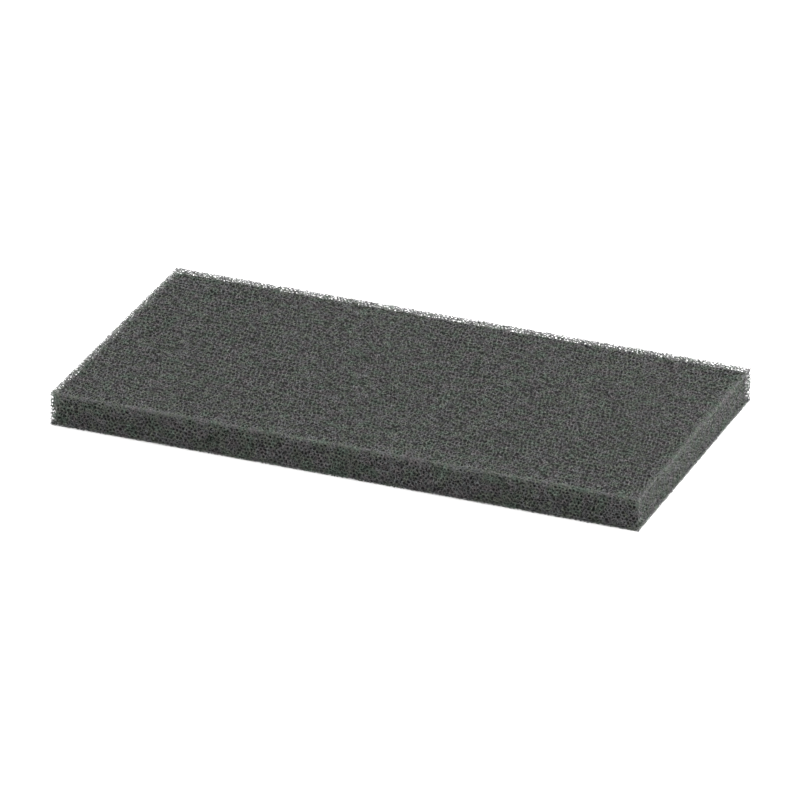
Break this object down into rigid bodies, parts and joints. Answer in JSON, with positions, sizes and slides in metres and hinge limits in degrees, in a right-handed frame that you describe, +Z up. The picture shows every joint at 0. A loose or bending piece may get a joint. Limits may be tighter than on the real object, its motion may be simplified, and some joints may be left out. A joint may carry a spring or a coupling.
{
  "type": "foam air filter pad",
  "caption": "Flat rectangular slab of dark grey open-cell foam that filters the intake air of a small engine, laid in the air cleaner's tray.",
  "frame": {"origin": "centre of the lower broad face, so the pad stands on Z = 0", "axes": "+X along the pad's length, +Y across its width, +Z up through its thickness, from the clean side to the intake side"},
  "size_m": [0.21, 0.106, 0.012],
  "materials": {
    "foam": "matt dark grey open-cell polyurethane foam, cut with a blade"
  },
  "bodies": {
    "root": {"filter_pad": "foam"}
  },
  "joints": []
}
